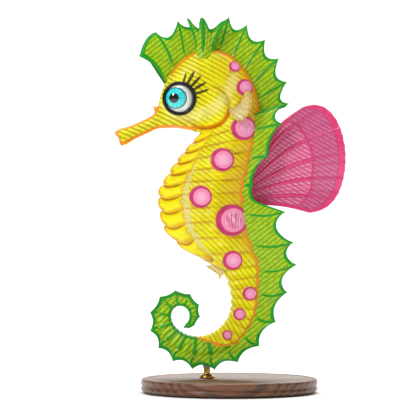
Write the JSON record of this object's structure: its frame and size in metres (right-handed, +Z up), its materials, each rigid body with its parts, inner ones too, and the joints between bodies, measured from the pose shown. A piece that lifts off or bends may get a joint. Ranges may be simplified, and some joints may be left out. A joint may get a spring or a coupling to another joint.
{
  "type": "seahorse on a display stand",
  "caption": "Life-size yellow seahorse with a green spiny crest, pink back fin, pink spots and a curled tail, held by a short rod on a round wooden base.",
  "frame": {"origin": "middle of the underside of the display base", "axes": "+Z up; the animal faces -X, with its right side towards +Y and its left side towards -Y"},
  "size_m": [0.0781, 0.06, 0.1278],
  "materials": {
    "skin": "satin yellow skin over bony rings, amber towards the back, pink spots, green towards the tail's tip",
    "crest": "satin green web with darker green spines and margin",
    "back_fin": "satin pink web with magenta rays",
    "clear_fin": "thin translucent web with fine rays",
    "eye": "wet gloss, cyan iris with a black pupil",
    "base_wood": "oiled walnut",
    "rod_brass": "satin"
  },
  "bodies": {
    "root": {"snout": "skin", "head": "skin", "neck": "skin", "trunk_upper": "skin", "trunk_lower": "skin", "tail_1": "skin", "tail_2": "skin", "tail_3": "skin", "tail_4": "skin", "tail_5": "skin", "tail_6": "skin", "tail_7": "skin", "tail_8": "skin", "coronet": "crest", "crest_brow": "crest", "crest_nape": "crest", "crest_shoulder_left": "crest", "crest_back_left": "crest", "crest_loin_left": "crest", "crest_tail_1_left": "crest", "crest_tail_2_left": "crest", "crest_tail_3_left": "crest", "crest_tail_4_left": "crest", "crest_tail_5_left": "crest", "crest_tail_6_left": "crest", "crest_shoulder_right": "crest", "crest_back_right": "crest", "crest_loin_right": "crest", "crest_tail_1_right": "crest", "crest_tail_2_right": "crest", "crest_tail_3_right": "crest", "crest_tail_4_right": "crest", "crest_tail_5_right": "crest", "crest_tail_6_right": "crest", "dorsal_fin": "back_fin", "pectoral_fin_left": "clear_fin", "pectoral_fin_right": "clear_fin", "anal_fin": "clear_fin", "eye_left": "eye", "eye_right": "eye", "stand_base": "base_wood", "stand_rod": "rod_brass"}
  },
  "joints": []
}
